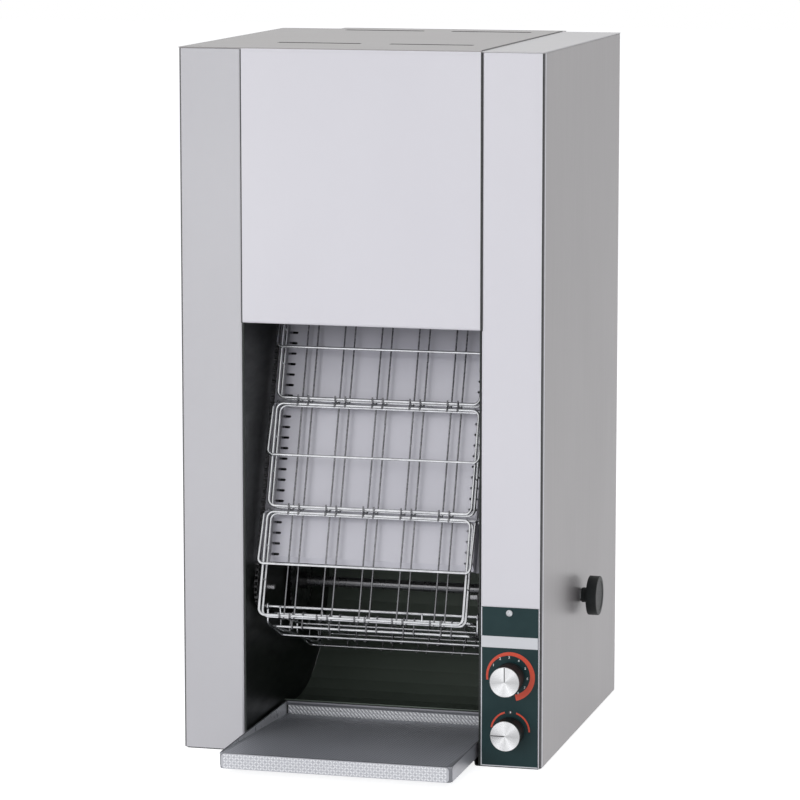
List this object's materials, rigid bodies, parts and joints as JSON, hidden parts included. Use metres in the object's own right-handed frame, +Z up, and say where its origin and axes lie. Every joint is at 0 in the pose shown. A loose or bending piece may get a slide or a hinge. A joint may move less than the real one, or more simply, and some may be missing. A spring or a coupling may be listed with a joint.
{
  "type": "conveyor toaster",
  "caption": "Tall free-standing conveyor toaster: wire baskets carry bread up past radiant elements and over the top, and toast slides down to a pull-out front tray.",
  "frame": {"origin": "under the middle of the whole box at rest, on the plane that the toaster stands on", "axes": "+X to the right seen from the front, +Y from the front to the back, +Z up"},
  "size_m": [0.4346, 0.541, 0.79],
  "materials": {
    "bright_wire": "bright plated steel wire",
    "bronze": "sintered bronze",
    "chain_steel": "oiled dark steel",
    "control_teal": "dark teal printed overlay",
    "element_sheath": "oxidised element sheath",
    "inner_steel": "heat-darkened stainless sheet",
    "knob_aluminium": "spun aluminium face",
    "knob_black": "gloss black moulding",
    "motor_grey": "grey painted castings",
    "moulded_black": "matte black moulding",
    "panel_steel": "brushed stainless sheet",
    "shaft_steel": "turned steel",
    "shield_steel": "bright stainless sheet",
    "tray_steel": "embossed bright stainless sheet"
  },
  "bodies": {
    "cabinet": {"base_pan": "panel_steel", "chain_left": "chain_steel", "chain_right": "chain_steel", "chamber_wall_left": "inner_steel", "chamber_wall_right": "inner_steel", "control_panel": "control_teal", "control_panel_screw": "shaft_steel", "cord_gland": "moulded_black", "discharge_chute": "inner_steel", "drive_bearing_left": "bronze", "drive_bearing_right": "bronze", "front_reflector": "shield_steel", "gearmotor": "motor_grey", "heat_switch": "moulded_black", "hood_front": "panel_steel", "idler_pin_left": "shaft_steel", "idler_pin_right": "shaft_steel", "inner_front_element": "element_sheath", "inner_rear_element": "element_sheath", "left_panel": "panel_steel", "load_shield": "shield_steel", "outer_front_element": "element_sheath", "outer_rear_element": "element_sheath", "rear_cover": "panel_steel", "rear_reflector": "shield_steel", "right_front_panel": "panel_steel", "right_side_panel": "panel_steel", "right_top_cover": "panel_steel", "speed_control": "moulded_black", "terminal_block": "moulded_black", "top_bearing_left": "bronze", "top_bearing_right": "bronze", "top_cover": "panel_steel"},
    "drive": {"drive_shaft": "shaft_steel", "drive_sprocket_left": "chain_steel", "drive_sprocket_right": "chain_steel", "drive_gear": "shaft_steel", "hand_knob": "knob_black"},
    "top_wheels": {"top_shaft": "shaft_steel", "top_sprocket_left": "chain_steel", "top_sprocket_right": "chain_steel"},
    "front_wheel_left": {"idler_sprocket_left": "chain_steel"},
    "front_wheel_right": {"idler_sprocket_right": "chain_steel"},
    "pinion": {"motor_pinion": "shaft_steel"},
    "tray": {"toast_tray": "tray_steel"},
    "speed_dial": {"speed_knob_skirt": "knob_black", "speed_knob_cap": "knob_aluminium"},
    "heat_dial": {"heat_knob_skirt": "knob_black", "heat_knob_cap": "knob_aluminium"},
    "basket_01_body": {"basket_01": "bright_wire"},
    "basket_02_body": {"basket_02": "bright_wire"},
    "basket_03_body": {"basket_03": "bright_wire"},
    "basket_04_body": {"basket_04": "bright_wire"},
    "basket_05_body": {"basket_05": "bright_wire"},
    "basket_06_body": {"basket_06": "bright_wire"},
    "basket_07_body": {"basket_07": "bright_wire"},
    "basket_08_body": {"basket_08": "bright_wire"},
    "basket_09_body": {"basket_09": "bright_wire"},
    "basket_10_body": {"basket_10": "bright_wire"},
    "basket_11_body": {"basket_11": "bright_wire"}
  },
  "joints": [
    {"name": "drive_turn", "type": "hinge", "parent": "cabinet", "child": "drive", "pos_m": [0, 0.0476, 0.157], "axis": [-1, 0, 0], "range_deg": [-15.98, 7.99]},
    {"name": "top_wheels_turn", "type": "hinge", "parent": "cabinet", "child": "top_wheels", "pos_m": [0, 0.0624, 0.64], "axis": [-1, 0, 0], "range_deg": [-18.94, 9.48]},
    {"name": "front_wheel_left_turn", "type": "hinge", "parent": "cabinet", "child": "front_wheel_left", "pos_m": [0, -0.1103, 0.1805], "axis": [-1, 0, 0], "range_deg": [-34.16, 17.09]},
    {"name": "front_wheel_right_turn", "type": "hinge", "parent": "cabinet", "child": "front_wheel_right", "pos_m": [0, -0.1103, 0.1805], "axis": [-1, 0, 0], "range_deg": [-34.16, 17.09]},
    {"name": "pinion_turn", "type": "hinge", "parent": "cabinet", "child": "pinion", "pos_m": [0, 0.0476, 0.193], "axis": [-1, 0, 0], "range_deg": [-23.99, 47.96]},
    {"name": "basket_01_ride", "type": "slide", "parent": "cabinet", "child": "basket_01_body", "axis": [0, 0.3189, 0.9478], "range_m": [-0.0128, 0.00645]},
    {"name": "basket_02_ride", "type": "slide", "parent": "cabinet", "child": "basket_02_body", "axis": [0, 0.3189, 0.9478], "range_m": [-0.0128, 0.00645]},
    {"name": "basket_03_ride", "type": "slide", "parent": "cabinet", "child": "basket_03_body", "axis": [0, 0.3189, 0.9478], "range_m": [-0.0128, 0.00645]},
    {"name": "basket_04_ride", "type": "slide", "parent": "cabinet", "child": "basket_04_body", "axis": [0, 0.3189, 0.9478], "range_m": [-0.0128, 0.00645]},
    {"name": "basket_05_ride", "type": "hinge", "parent": "cabinet", "child": "basket_05_body", "pos_m": [0, 0.0624, 0.64], "axis": [-1, 0, 0], "range_deg": [-18.94, 9.48]},
    {"name": "basket_06_ride", "type": "slide", "parent": "cabinet", "child": "basket_06_body", "axis": [0, -0.016, -0.9999], "range_m": [-0.0128, 0.00645]},
    {"name": "basket_07_ride", "type": "slide", "parent": "cabinet", "child": "basket_07_body", "axis": [0, -0.016, -0.9999], "range_m": [-0.0128, 0.00645]},
    {"name": "basket_08_ride", "type": "slide", "parent": "cabinet", "child": "basket_08_body", "axis": [0, -0.016, -0.9999], "range_m": [-0.0128, 0.00645]},
    {"name": "basket_09_ride", "type": "slide", "parent": "cabinet", "child": "basket_09_body", "axis": [0, -0.016, -0.9999], "range_m": [-0.0128, 0.00645]},
    {"name": "basket_10_ride", "type": "slide", "parent": "cabinet", "child": "basket_10_body", "axis": [0, -0.9553, 0.2955], "range_m": [-0.0128, 0.00645]},
    {"name": "basket_11_ride", "type": "slide", "parent": "cabinet", "child": "basket_11_body", "axis": [0, -0.9553, 0.2955], "range_m": [-0.0128, 0.00645]},
    {"name": "tray_pull", "type": "slide", "parent": "cabinet", "child": "tray", "axis": [0, -1, 0], "range_m": [0, 0.15]},
    {"name": "speed_dial_turn", "type": "hinge", "parent": "cabinet", "child": "speed_dial", "pos_m": [0.16045, 0, 0.1038], "axis": [0, 1, 0], "range_deg": [-105, 150]},
    {"name": "heat_dial_turn", "type": "hinge", "parent": "cabinet", "child": "heat_dial", "pos_m": [0.16045, 0, 0.0425], "axis": [0, 1, 0], "range_deg": [0, 180]}
  ],
  "couplings": [
    {"joint": "top_wheels_turn", "follows": "drive_turn", "ratio": 1.1838},
    {"joint": "front_wheel_left_turn", "follows": "drive_turn", "ratio": 2.1366},
    {"joint": "front_wheel_right_turn", "follows": "drive_turn", "ratio": 2.1366},
    {"joint": "pinion_turn", "follows": "drive_turn", "ratio": -3},
    {"joint": "basket_01_ride", "follows": "drive_turn", "m_per_rad": 0.045516},
    {"joint": "basket_02_ride", "follows": "drive_turn", "m_per_rad": 0.045516},
    {"joint": "basket_03_ride", "follows": "drive_turn", "m_per_rad": 0.045516},
    {"joint": "basket_04_ride", "follows": "drive_turn", "m_per_rad": 0.045516},
    {"joint": "basket_05_ride", "follows": "drive_turn", "ratio": 1.1838},
    {"joint": "basket_06_ride", "follows": "drive_turn", "m_per_rad": 0.045516},
    {"joint": "basket_07_ride", "follows": "drive_turn", "m_per_rad": 0.045516},
    {"joint": "basket_08_ride", "follows": "drive_turn", "m_per_rad": 0.045516},
    {"joint": "basket_09_ride", "follows": "drive_turn", "m_per_rad": 0.045516},
    {"joint": "basket_10_ride", "follows": "drive_turn", "m_per_rad": 0.045516},
    {"joint": "basket_11_ride", "follows": "drive_turn", "m_per_rad": 0.045516}
  ]
}
